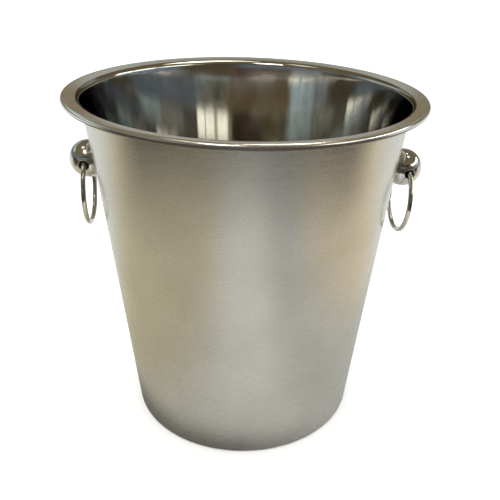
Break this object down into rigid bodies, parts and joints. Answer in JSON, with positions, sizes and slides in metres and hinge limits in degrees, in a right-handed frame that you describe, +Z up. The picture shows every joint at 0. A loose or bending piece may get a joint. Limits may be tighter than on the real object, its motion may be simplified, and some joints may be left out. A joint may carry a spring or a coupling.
{
  "type": "champagne bucket",
  "caption": "Tapered polished steel champagne bucket with a broad rolled rim and two ball knobs, each holding a free-swinging ring handle.",
  "frame": {"origin": "centre of the foot, on the surface that the bucket stands on", "axes": "+Z up along the bucket's axis, +X towards the right-hand knob, +Y away from the viewer's side, so the two knobs lie on the X axis"},
  "size_m": [0.2254, 0.22, 0.22],
  "materials": {
    "shell_steel": "satin outside with fine rings of brushing, mirror polished inside",
    "polished_steel": "mirror polished",
    "fixing_steel": "plain bright steel"
  },
  "bodies": {
    "bucket": {"bucket_shell": "shell_steel", "left_knob": "polished_steel", "left_knob_plate": "fixing_steel", "left_knob_rivet": "fixing_steel", "right_knob": "polished_steel", "right_knob_plate": "fixing_steel", "right_knob_rivet": "fixing_steel"},
    "left_handle": {"left_ring": "polished_steel"},
    "right_handle": {"right_ring": "polished_steel"}
  },
  "joints": [
    {"name": "left_ring_swing", "type": "hinge", "parent": "bucket", "child": "left_handle", "pos_m": [-0.1023, 0, 0.1726], "axis": [-0.0872, 0.9962, 0], "range_deg": [-14.5, 181.2]},
    {"name": "right_ring_swing", "type": "hinge", "parent": "bucket", "child": "right_handle", "pos_m": [0.1023, 0, 0.1726], "axis": [0.0872, -0.9962, 0], "range_deg": [-11, 184.7]}
  ]
}
